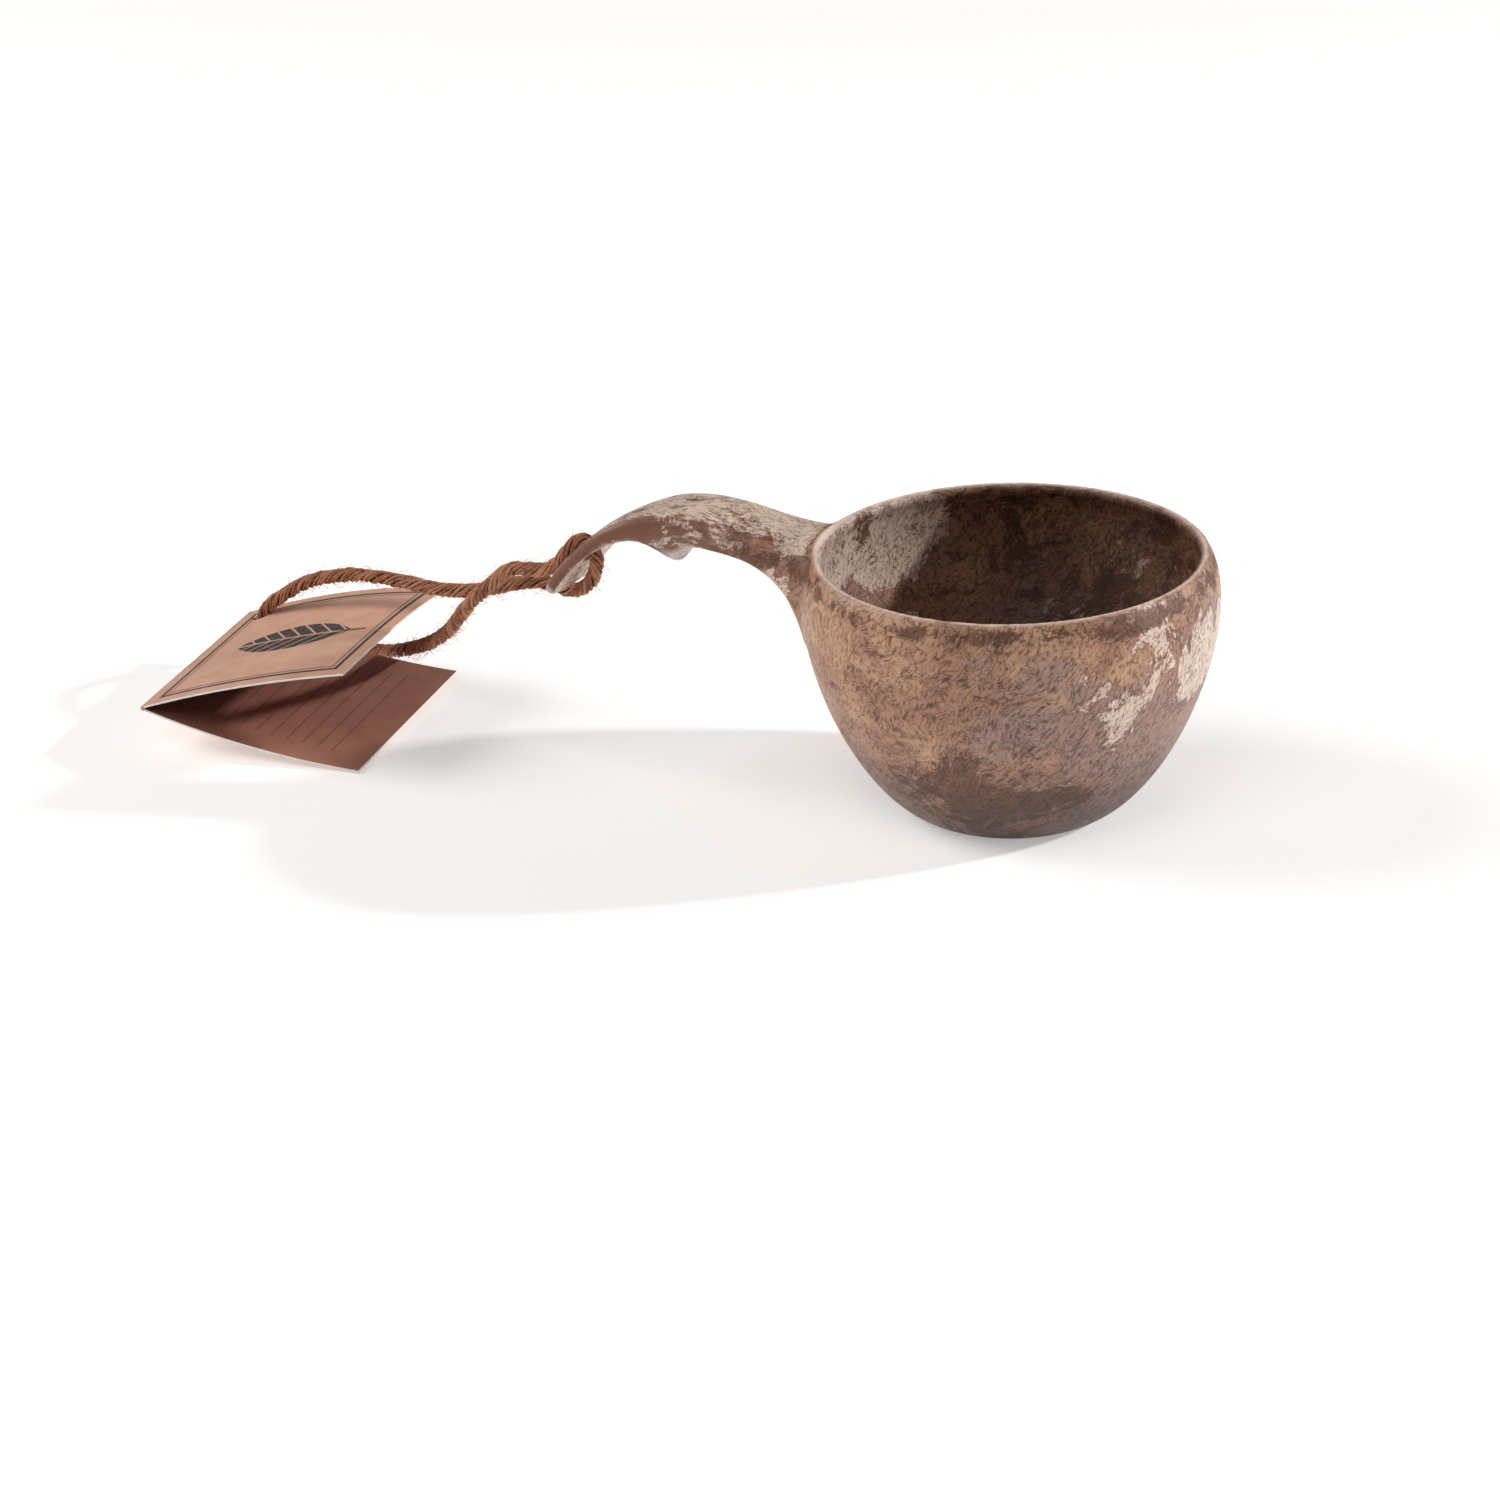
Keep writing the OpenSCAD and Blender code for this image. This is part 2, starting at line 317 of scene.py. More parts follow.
def knot():
    """The overhand knot that joins the strands under the tag, with its two frayed tails."""
    rng = np.random.default_rng(11)
    shape = Shape()
    t = np.linspace(0, 2 * math.pi, 90)
    loop = np.stack([np.sin(t) + 2 * np.sin(2 * t), np.cos(t) - 2 * np.cos(2 * t), -1.5 * np.sin(3 * t)], 1)
    loop = loop * KNOT_SIZE @ turn("X", KNOT_TILT).T @ turn("Z", KNOT_TURN).T
    lay_yarns(shape, KNOT_CENTRE + loop, rng)
    for heading in TAIL_HEADINGS:
        out = turn("Z", heading) @ np.array([1.0, 0, 0])
        path = curve_through([KNOT_CENTRE + out * away - UP * drop for away, drop in TAIL_ROUTE], PATH_STEP)
        along = np.linspace(0, 1, len(path))
        lay_yarns(shape, path, rng, 0.85 + 0.45 * along**2)
        for _ in range(FRAYED):
            start = path[-1] - out * rng.uniform(0, 0.002) + rng.normal(size=3) * 0.0006
            aim = unit(out + rng.normal(size=3) * 0.28)
            s = np.linspace(0, 1, 6)[:, None]
            line = start + aim * s * rng.uniform(0.001, FRAY_LENGTH) + rng.normal(size=3) * 0.0004 * s**2
            line[:, 2] = np.maximum(line[:, 2], 0.0003)
            radius = FRAY_R * (1 - 0.6 * s[:, 0])
            lean = np.broadcast_to(UP, line.shape)
            shape.tube(line, radius, 4, lean, tone=0.4, along=0.0, strand=rng.uniform(0, 99))
    piece = shape.build("knot")
    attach(piece, "cup")
    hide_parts("cord_knot")
    return piece


upper_cord, upper_path = strand("cord_upper", UPPER_ROUTE, "cord_upper_strand", 3)
lower_cord, lower_path = strand("cord_lower", LOWER_ROUTE, "cord_lower_strand", 4)
knot_piece = knot()


# ================= tag =================
FOLD_TURN = turn("Z", FOLD_HEADING - 90) @ turn("X", FOLD_RISE)


def leaf_outline_mesh():
    """The flat leaf as (across, along) points with its punched hole, and its triangles."""
    inset, first_row, rows = 0.0003, 0.002, 29
    clear, hole_sides = 0.0006, 32
    across = np.concatenate([[inset], np.linspace(first_row, TAG_W, rows)])
    along = np.linspace(0, TAG_W, rows + 1)
    inner = [
        (a, b) for a in across for b in along
        if math.hypot(a - PUNCH[0], b - PUNCH[1]) > PUNCH_R + clear
    ]
    hole = [
        (PUNCH[0] + PUNCH_R * math.cos(t), PUNCH[1] + PUNCH_R * math.sin(t))
        for t in np.linspace(0, 2 * math.pi, hole_sides, endpoint=False)
    ]
    first = len(inner)
    ring = [first + k for k in range(len(hole))]
    edges = [(ring[k], ring[(k + 1) % len(ring)]) for k in range(len(ring))]
    made = delaunay_2d_cdt([Vector(p) for p in inner + hole], edges, [], 0, 1e-7)
    points = np.array([tuple(p) for p in made[0]])
    faces = []
    for face in made[2]:
        middle = points[list(face)].mean(0)
        if math.hypot(middle[0] - PUNCH[0], middle[1] - PUNCH[1]) < PUNCH_R * 0.98:
            continue
        a, b, c = points[face[0]], points[face[1]], points[face[2]]
        area = (b[0] - a[0]) * (c[1] - a[1]) - (b[1] - a[1]) * (c[0] - a[0])
        faces.append(list(face) if area > 0 else list(face)[::-1])
    return points, faces


def rim_edges(faces):
    """The edges that only one triangle has, in the triangle's own direction."""
    ways = [(f[i], f[(i + 1) % 3]) for f in faces for i in range(3)]
    seen = set(ways)
    return [(a, b) for a, b in ways if (b, a) not in seen]


def leaf(name, node, body, slope, bulge, droop, outside_up):
    """One leaf of the card. outside_up says that its outside faces up. Slots: outside, inside, cut edge."""
    flat, faces = leaf_outline_mesh()
    across, along = flat[:, 0], flat[:, 1]
    share, far = across / TAG_W, along / TAG_W
    lift = bulge * 4 * share * (1 - share) - droop * (share * far) ** 3
    tip = turn("Y", -slope)
    inside, outside = [
        FOLD_CORNER + np.stack([across, along, lift + height], 1) @ tip.T @ FOLD_TURN.T
        for height in (0.0, CARD_T if outside_up else -CARD_T)
    ]
    n = len(flat)
    top, bottom = (n, 0) if outside_up else (0, n)
    all_faces = [[v + top for v in f] for f in faces] + [[v + bottom for v in f[::-1]] for f in faces]
    slots = [0 if outside_up else 1] * len(faces) + [1 if outside_up else 0] * len(faces)
    for a, b in rim_edges(faces):
        all_faces.append([b + top, a + top, a + bottom, b + bottom])
        slots.append(2)
    mesh = bpy.data.meshes.new(name)
    mesh.from_pydata(np.concatenate([inside, outside]), [], all_faces)
    mesh.polygons.foreach_set("material_index", slots)
    mesh.polygons.foreach_set("use_smooth", [s != 2 for s in slots])
    uv = mesh.uv_layers.new(name="leaf")
    corner = np.zeros(len(mesh.loops), np.int32)
    mesh.loops.foreach_get("vertex_index", corner)
    uv.data.foreach_set("uv", (np.concatenate([flat, flat]) / TAG_W)[corner].ravel())
    piece = bpy.data.objects.new(name, mesh)
    bpy.context.scene.collection.objects.link(piece)
    sharpen(mesh, slots)
    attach(piece, body)
    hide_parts(node)
    return piece


def sharpen(mesh, slots):
    """Marks the edges between faces of different slots as sharp."""
    seen = {}
    for polygon in mesh.polygons:
        for key in polygon.edge_keys:
            seen.setdefault(key, set()).add(slots[polygon.index])
    for edge in mesh.edges:
        edge.use_edge_sharp = len(seen[tuple(sorted(edge.vertices))]) > 1


def crease(name, body):
    """The rounded outside of the fold, which both leaves meet."""
    shape = Shape()
    path = FOLD_CORNER + np.linspace((0, 0, 0), (0, TAG_W, 0), 60) @ FOLD_TURN.T
    lean = np.broadcast_to(FOLD_TURN @ np.array([-1.0, 0, 0]), path.shape)
    shape.tube(path, CREASE_R, 20, lean)
    piece = shape.build(name)
    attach(piece, body)
    return piece


front_leaf = leaf("tag_front", "tag_front_leaf", "front_leaf", FRONT_SLOPE, FRONT_BULGE, CORNER_DROOP, True)
back_leaf = leaf("tag_back", "tag_back_leaf", "cup", BACK_SLOPE, BACK_BULGE, 0.0, False)
crease_piece = crease("tag_crease", "cup")


# ================= cup =================
def outer_radius(z):
    low = FOOT_R + (BOWL_R - FOOT_R) * (1 - np.clip(1 - z / WIDEST_Z, 0, 1) ** SWELL_POWER) ** FOOT_POWER
    high = BOWL_R - (BOWL_R - LIP_OUT_R) * (np.maximum(z - WIDEST_Z, 0) / (BOWL_H - WIDEST_Z)) ** TURN_POWER
    return np.where(z < WIDEST_Z, low, high)


def bowl_outlines():
    """The closed outlines of the bowl's outside and of its cavity, as (radius, height)."""
    lip_r = WALL / 2
    levels, crowding = 150, 1.8
    z = (BOWL_H - lip_r) * np.linspace(0, 1, levels) ** crowding
    outside = np.stack([outer_radius(z), z], 1)
    step = unit(np.gradient(outside, axis=0))
    inside = outside + WALL * np.stack([-step[:, 1], step[:, 0]], 1)
    # the wall's inside starts above this height, where the floor's curve has turned up into it
    wall_from = 5.0
    wall = inside[(inside[:, 1] > wall_from) & (np.arange(levels) > 20)]
    floor = catmull_rom(
        [(0, WALL), (10, WALL), (17, WALL + 0.1), (21.5, WALL + 0.7), tuple(wall[0]), tuple(wall[4])],
        np.linspace(0, 4, 40),
    )
    inside = np.concatenate([floor[:-1], wall])
    centre = (outside[-1] + inside[-1]) / 2
    out = outside[-1] - centre
    a = np.linspace(0, math.pi, 26)[1:-1, None]
    arc = centre + out * np.cos(a) + np.array([-out[1], out[0]]) * np.sin(a)
    solid = np.concatenate([[(0, 0)], outside, arc, inside[-1:], [(0, inside[-1][1])]])
    cavity = np.concatenate([inside, [(inside[-1][0], BOWL_H + 30), (0, BOWL_H + 30)]])
    return solid, cavity


def nearest_on(line, points, chunk=20000):
    """For each 2-D point its distance to a line, and the place along the line where it is nearest."""
    start, way = line[:-1], np.diff(line, axis=0)
    long = (way**2).sum(1)
    far, place = np.zeros(len(points)), np.zeros(len(points))
    for k in range(0, len(points), chunk):
        p = points[k:k + chunk]
        dx, dy = p[:, :1] - start[:, 0], p[:, 1:] - start[:, 1]
        t = np.clip((dx * way[:, 0] + dy * way[:, 1]) / long, 0, 1)
        d = (dx - t * way[:, 0])**2 + (dy - t * way[:, 1])**2
        i = d.argmin(1)
        row = np.arange(len(p))
        far[k:k + chunk], place[k:k + chunk] = np.sqrt(d[row, i]), i + t[row, i]
    return far, place


def inside_outline(outline, points):
    """Even-odd test of 2-D points against a closed outline."""
    odd = np.zeros(len(points), bool)
    x, y = points[:, 0], points[:, 1]
    for (x0, y0), (x1, y1) in zip(outline, np.roll(outline, -1, axis=0)):
        if y0 != y1:
            crosses = ((y0 > y) != (y1 > y)) & (x < (x1 - x0) * (y - y0) / (y1 - y0) + x0)
            odd ^= crosses
    return odd


class Table:
    """Values on a 2-D grid, read with bilinear interpolation."""

    def __init__(self, low, high, step):
        self.low, self.step = np.array(low, float), step
        self.shape = tuple(int((h - l) / step) + 2 for l, h in zip(low, high))
        i, j = np.meshgrid(*[np.arange(s) for s in self.shape], indexing="ij")
        self.points = self.low + step * np.stack([i.ravel(), j.ravel()], 1)
        self.layers = []

    def fill(self, *layers):
        self.layers = [layer.reshape(self.shape) for layer in layers]
        self.points = None
        return self

    def read(self, x, y):
        u = np.clip((x - self.low[0]) / self.step, 0, self.shape[0] - 1.001)
        v = np.clip((y - self.low[1]) / self.step, 0, self.shape[1] - 1.001)
        i, j = u.astype(int), v.astype(int)
        u, v = u - i, v - j
        found = []
        for g in self.layers:
            low, high = g[i, j] * (1 - v) + g[i, j + 1] * v, g[i + 1, j] * (1 - v) + g[i + 1, j + 1] * v
            found.append(low * (1 - u) + high * u)
        return found


def signed_table(outline, low, high, step):
    """Distances to a closed outline, below 0 inside it."""
    table = Table(low, high, step)
    closed = np.concatenate([outline, outline[:1]])
    keep = np.linalg.norm(np.diff(closed, axis=0), axis=1) > 1e-9
    closed = np.concatenate([closed[:-1][keep], closed[-1:]])
    far = nearest_on(closed, table.points)[0]
    return table.fill(np.where(inside_outline(outline, table.points), -far, far))


class CupField:
    """A distance-like field of the moulded cup: below 0 in the material. Millimetres."""

    def __init__(self, step):
        solid, cavity = bowl_outlines()
        # the axis isn't a wall, so the outlines are mirrored past it
        solid = np.concatenate([solid[1:-1], (solid[1:-1] * [-1, 1])[::-1]])
        cavity = np.concatenate([cavity, (cavity * [-1, 1])[::-1]])
        self.solid, self.cavity = [signed_table(o, (0, -4), (62, 74), step) for o in (solid, cavity)]
        line = catmull_rom(HANDLE_LINE, np.linspace(0, len(HANDLE_LINE) - 1, HANDLE_STEPS))
        self.reaches = line[:, 0]
        line = np.stack([-LIP_OUT_R - line[:, 0], BOWL_H + line[:, 1]], 1)
        self.length = np.linalg.norm(np.diff(line, axis=0), axis=1).sum()
        # the line goes on straight past both ends
        extra = 20
        first, last = unit(line[0] - line[1]), unit(line[-1] - line[-2])
        line = np.concatenate([[line[0] + extra * first], line, [line[-1] + extra * last]])
        along = np.concatenate([[0], np.cumsum(np.linalg.norm(np.diff(line, axis=0), axis=1))]) - extra
        self.along = along
        table = Table((-124, 18), (-26, 78), step)
        far, place = nearest_on(line, table.points)
        i = np.minimum(place.astype(int), len(line) - 2)
        way = line[i + 1] - line[i]
        off = table.points - line[i]
        # the line runs towards -X, so its left is below it
        below = way[:, 1] * off[:, 0] - way[:, 0] * off[:, 1] < 0
        rise = np.where(below, -far, far)
        self.handle_place = table.fill(np.interp(place, np.arange(len(line)), along), rise)
        at = np.interp(HOLE_AT, self.reaches, along[1:-1])
        self.hole = np.array([np.interp(at, along, line[:, k]) for k in (0, 1)])
        ahead = np.array([np.interp(at + 1, along, line[:, k]) for k in (0, 1)])
        self.hole_way = unit(ahead - self.hole)

    def handle_parts(self, x, y, z):
        """Distances past the handle's outline and past its top or underside, and the edge's radius."""
        s, rise = self.handle_place.read(x, z)
        reach = np.interp(s, self.along[1:-1], self.reaches)
        roll = np.radians(ROLL) * smooth_step(reach, ROLL_AT, ROLL_AT + ROLLING)
        y, rise = y * np.cos(roll) - rise * np.sin(roll), rise * np.cos(roll) + y * np.sin(roll)
        flare = np.exp(-np.maximum(reach, 0) / ROOT_FADE)
        width = NECK_W + (END_W - NECK_W) * smooth_step(reach, NECK_AT, NECK_AT + WIDENING)
        width = width + ROOT_FLARE_W * flare
        thin = ARCH_T + (END_T - ARCH_T) * smooth_step(reach, THINNING_AT, THINNING_AT + THINNING)
        t = np.clip(1 - (np.hypot(x, y) - LIP_OUT_R - ROOT_ARC_AT) / ROOT_ARC, 0, 0.97)
        thick = thin + ROOT_ARC * (1 - np.sqrt(1 - t * t))
        side = np.abs(y) / width
        off = reach - STOP_AT
        off = off / np.where(off < 0, STOP_BEFORE, STOP_AFTER)
        thick = thick + STOP_DEPTH * np.exp(-np.abs(off) ** STOP_POWER) * (1 - np.clip(side, 0, 1) ** 2)
        past = np.maximum(s - (self.length - END_ROUND), 0) / END_ROUND
        # a superellipse rounds the end in plan, and over its slope it is close to a distance
        a, b = side + 1e-6, past + 1e-9
        g = a**END_POWER + b**END_POWER
        scale = g ** (1 / END_POWER - 1)
        slope = scale * np.hypot(a ** (END_POWER - 1) / width, b ** (END_POWER - 1) / END_ROUND)
        plan = (g ** (1 / END_POWER) - 1) / np.maximum(slope, 1e-4)
        crown = 0.8 * np.clip(side, 0, 1.2) ** 2
        through = np.abs(rise + crown + thick / 2) - thick / 2
        return plan, through, 0.4 * thin

    def handle(self, x, y, z):
        plan, through, edge = self.handle_parts(x, y, z)
        a, b = plan + edge, through + edge
        return np.hypot(np.maximum(a, 0), np.maximum(b, 0)) + np.minimum(np.maximum(a, b), 0) - edge

    def __call__(self, p):
        x, y, z = p[..., 0], p[..., 1], p[..., 2]
        r = np.hypot(x, y)
        solid, cavity = self.solid.read(r, z)[0], self.cavity.read(r, z)[0]
        wall = np.maximum(solid, -cavity)
        handle = self.handle(x, y, z)
        k = LIP_BLEND + (ROOT_BLEND - LIP_BLEND) * smooth_step(BOWL_H - z, 1.5, BLEND_DEPTH)
        h = np.maximum(k - np.abs(wall - handle), 0) / k
        both = np.where(x < HANDLE_SIDE_X, np.minimum(wall, handle) - h * h * k / 4, wall)
        both = np.maximum(both, -cavity)
        dx, dz = x - self.hole[0], z - self.hole[1]
        across = np.hypot(dx * self.hole_way[0] + dz * self.hole_way[1], y)
        deep = np.abs(dx * self.hole_way[1] - dz * self.hole_way[0])
        bore = np.minimum(HOLE_R - across, HOLE_DEPTH - deep)
        a = np.maximum(HOLE_ROUND - np.abs(both - bore), 0) / HOLE_ROUND
        return np.maximum(both, bore) + a * a * HOLE_ROUND / 4

    def slope(self, p):
        reach = 0.15
        return np.stack([(self(p + s) - self(p - s)) / (2 * reach) for s in np.eye(3) * reach], -1)


def bump_at(value, middle, width):
    """1 at the middle, falling to 0 on both sides."""
    return np.exp(-(((value - middle) / width) ** 2))


def surface_nets(values, low, step):
    """Quads round the places where a grid of values changes sign."""
    inside = values < 0
    shape = np.array(values.shape)
    total, count = np.zeros((shape.prod(), 3)), np.zeros(shape.prod())
    quads = []

    def cell(index):
        return (index[:, 0] * shape[1] + index[:, 1]) * shape[2] + index[:, 2]

    for axis in range(3):
        low_side = [slice(None)] * 3
        high_side = [slice(None)] * 3
        low_side[axis], high_side[axis] = slice(None, -1), slice(1, None)
        change = inside[tuple(low_side)] != inside[tuple(high_side)]
        index = np.argwhere(change)
        far = index.copy()
        far[:, axis] += 1
        v0, v1 = values[tuple(index.T)], values[tuple(far.T)]
        place = index.astype(float)
        place[:, axis] += v0 / (v0 - v1)
        b, c = [(axis + 1) % 3, (axis + 2) % 3]
        corners = []
        for back_b, back_c in ((1, 1), (0, 1), (0, 0), (1, 0)):
            near = index.copy()
            near[:, b] -= back_b
            near[:, c] -= back_c
            ids = cell(near)
            np.add.at(total, ids, place)
            np.add.at(count, ids, 1)
            corners.append(ids)
        quad = np.stack(corners, 1)
        flip = ~inside[tuple(index.T)]
        quad[flip] = quad[flip][:, ::-1]
        quads.append(quad)
    quads = np.concatenate(quads)
    used, renamed = np.unique(quads, return_inverse=True)
    points = low + step * total[used] / count[used][:, None]
    return points, renamed.reshape(quads.shape)


def smoothed(points, quads, share):
    """Each point moved a share of the way to the middle of its neighbours."""
    total, count = np.zeros_like(points), np.zeros(len(points))
    for k in range(4):
        a, b = quads[:, k], quads[:, (k + 1) % 4]
        np.add.at(total, a, points[b])
        np.add.at(count, a, 1)
    return points + share * (total / count[:, None] - points)


def project(field, points, rounds):
    """The points moved onto the field's surface, in short steps."""
    for _ in range(rounds):
        slope = field.slope(points)
        move = field(points)[:, None] * slope / np.maximum((slope**2).sum(1, keepdims=True), 0.05)
        size = np.linalg.norm(move, axis=1, keepdims=True)
        points = points - move * np.minimum(1, 0.4 / np.maximum(size, 1e-9))
    return points


def stains(points, normals):
    """For each point of the cup, how strongly each of the composite's colours gathers there."""
    x, y, z = points.T
    radius = np.hypot(x, y)
    heading = np.degrees(np.arctan2(y, x))
    reach = -LIP_OUT_R - x

    def gathered(strength, middle, spread, level, tall):
        """A patch on the bowl, placed and sized by its heading in degrees and its height."""
        return strength * bump_at(heading, middle, spread) * bump_at(z, level, tall)

    on_handle = smooth_step(radius, BOWL_R + 0.5, BOWL_R + 6)
    outward = smooth_step((normals[:, 0] * x + normals[:, 1] * y) / radius, -0.2, 0.3)
    outer, inner = outward * (1 - on_handle), (1 - outward) * (1 - on_handle)
    # the bowl's left inner wall, where the key light falls, is made paler as painted light, and mauver
    lit_left_wall = bump_at(np.abs(heading), 175, 50) * inner * smooth_step(z, 10, 30)
    in_shade = inner * (1 - lit_left_wall)
    # painted highlight: the lip's rounded top is later given a pale pink line that stands in for a highlight
    lip = smooth_step(z, BOWL_H - 1.0, BOWL_H - 0.5) * smooth_step(LIP_OUT_R + 0.8 - radius, 0, 0.8)
    rim = bump_at(z, 58.6, 2.2) * outward
    side = smooth_step(np.abs(normals[:, 1]), 0.3, 0.55) * on_handle
    # painted bounce light: faces turned down near the handle's end, and the finger stop's underside below,
    # are later made pale grey as if lit from the white floor
    under = smooth_step(-normals[:, 2] - 0.8 * normals[:, 0] * smooth_step(reach, 48, 56), 0.45, 0.65)
    top = np.interp(reach, [p[0] for p in HANDLE_LINE], [p[1] for p in HANDLE_LINE])
    stop = 0.6 * smooth_step(BOWL_H + top - z, 7.5, 9) * bump_at(reach, 35, 9) * on_handle
    # real cream patches, and painted light: the handle's top and the lit left inner wall are made paler
    cream_and_lit = (
        1.2 * on_handle * (1 - side)
        + gathered(1.05, -14, 24, 42, 13) * outward
        + 1.1 * lit_left_wall
        + 0.8 * side * (1 - smooth_step(reach, 38, 46))
        - 0.7 * bump_at(heading, -112, 40) * outer
    )
    mauve = (
        (gathered(1.4, -20, 36, 38, 22) + 0.5 * bump_at(heading, 120, 40)) * outward
        + 1.2 * lit_left_wall
    )
    # real brown blotches and the rim's band, and painted shade: more blotches near the foot and on the cup's
    # shaded inside
    blotches_and_shade = (
        gathered(1.6, -95, 36, 19, 10) * outward
        + gathered(0.5, 60, 30, 20, 12)
        + 1.3 * rim
        + 0.6 * bump_at(z, 4, 9) * outward
        + 0.8 * in_shade
    )
    return {
        "side": side * (1 - under) * smooth_step(reach, 10, 26),
        "lip": lip,
        "cream_and_lit": cream_and_lit * (1 - 0.7 * rim),
        "mauve": mauve,
        "blotches_and_shade": blotches_and_shade,
        "grip": on_handle,
        "under": np.maximum(under * smooth_step(reach, 38, 50), stop),
        "shade": np.maximum(0.9 * smooth_step(29 - z, 0, 28) * outer, 0.66 * in_shade),
    }


def cup():
    """The bowl and its handle as one skin, laid on the field's surface."""
    field = CupField(TABLE_STEP)
    step = CUP_GRID
    axes = [np.arange(low, high + step, step) for low, high in zip(CUP_LOW, CUP_HIGH)]
    grid = np.stack(np.meshgrid(*axes, indexing="ij"), -1)
    values = np.stack([field(plane) for plane in grid])
    points, quads = surface_nets(values, np.array(CUP_LOW), step)
    points = project(field, points, 2)
    for _ in range(2):
        points = project(field, smoothed(points, quads, 0.6), 2)
    points = project(field, points, 1)
    normals = unit(field.slope(points))
    points[:, 2] = np.maximum(points[:, 2], 0)
    shape = Shape()
    shape.add(points * MM, quads, **stains(points, normals))
    piece = shape.build("cup_body")
    piece.data.normals_split_custom_set_from_vertices(normals)
    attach(piece, "cup")
    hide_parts("cup")
    return piece


cup_piece = cup()


# ================= materials =================
class Nodes:
    """A short way to write a material's node tree."""

    def __init__(self, name):
        self.material = bpy.data.materials.new(name)
        self.material.use_nodes = True
        self.tree = self.material.node_tree
        self.shader = self.tree.nodes["Principled BSDF"]

    def new(self, kind, **settings):
        node = self.tree.nodes.new(kind)
        for key, value in settings.items():
            setattr(node, key, value)
        return node

    def put(self, socket, value):
        if isinstance(value, bpy.types.NodeSocket):
            self.tree.links.new(value, socket)
        elif isinstance(value, tuple) and len(value) == 3 and socket.type == "RGBA":
            socket.default_value = (*value, 1)
        else:
            socket.default_value = value

    def math(self, operation, a, b=0.0):
        node = self.new("ShaderNodeMath", operation=operation)
        self.put(node.inputs[0], a)
        self.put(node.inputs[1], b)
        return node.outputs[0]

    def times(self, *factors):
        product = factors[0]
        for factor in factors[1:]:
            product = self.math("MULTIPLY", product, factor)
        return product

    def off(self, value, middle):
        """How far a value is from a middle, on either side."""
        return self.math("ABSOLUTE", self.math("SUBTRACT", value, middle))

    def place(self):
        return self.new("ShaderNodeTexCoord").outputs["Object"]

    def leaf_place(self):
        """Places on a leaf of the tag, away from the fold and along it, from 0 to 1."""
        split = self.new("ShaderNodeSeparateXYZ")
        self.put(split.inputs[0], self.new("ShaderNodeUVMap", uv_map="leaf").outputs[0])
        return split.outputs[0], split.outputs[1]

    def value(self, name):
        return self.new("ShaderNodeAttribute", attribute_name=name).outputs["Fac"]

    def stretched(self, vector, scale, rotation=(0, 0, 0)):
        """The vector for a texture drawn out by scale along turned axes."""
        node = self.new("ShaderNodeMapping", vector_type="TEXTURE")
        self.put(node.inputs["Vector"], vector)
        node.inputs["Scale"].default_value = scale
        node.inputs["Rotation"].default_value = [math.radians(a) for a in rotation]
        return node.outputs[0]

    def noise(self, vector, scale, detail=4.0, rough=0.55, warp=0.0, colour=False):
        node = self.new("ShaderNodeTexNoise")
        self.put(node.inputs["Vector"], vector)
        node.inputs["Scale"].default_value = scale
        node.inputs["Detail"].default_value = detail
        node.inputs["Roughness"].default_value = rough
        node.inputs["Distortion"].default_value = warp
        return node.outputs["Color" if colour else "Fac"]

    def step(self, value, low, high, out_low=0.0, out_high=1.0):
        node = self.new("ShaderNodeMapRange", interpolation_type="SMOOTHSTEP")
        self.put(node.inputs["Value"], value)
        for key, number in zip(("From Min", "From Max", "To Min", "To Max"), (low, high, out_low, out_high)):
            node.inputs[key].default_value = number
        return node.outputs[0]

    def mix(self, share, a, b, blend="MIX"):
        node = self.new("ShaderNodeMix", data_type="RGBA", blend_type=blend)
        self.put(node.inputs[0], share)
        self.put(node.inputs[6], a)
        self.put(node.inputs[7], b)
        return node.outputs[2]

    def warped(self, vector, scale, amount):
        """The vector moved by a slow noise, so that what follows swirls."""
        wander = self.vector_math("SUBTRACT", self.noise(vector, scale, 2.0, colour=True), 1, (0.5, 0.5, 0.5))
        return self.vector_math("ADD", vector, 1, self.vector_math("SCALE", wander, "Scale", amount))

    def vector_math(self, operation, a, socket, b):
        """socket is the input that takes b."""
        node = self.new("ShaderNodeVectorMath", operation=operation)
        self.put(node.inputs[0], a)
        self.put(node.inputs[socket], b)
        return node.outputs[0]

    def bump(self, height, strength, distance):
        node = self.new("ShaderNodeBump")
        self.put(node.inputs["Height"], height)
        node.inputs["Strength"].default_value = strength
        node.inputs["Distance"].default_value = distance
        self.put(self.shader.inputs["Normal"], node.outputs[0])

    def set(self, **values):
        for key, value in values.items():
            self.put(self.shader.inputs[key.replace("_", " ")], value)


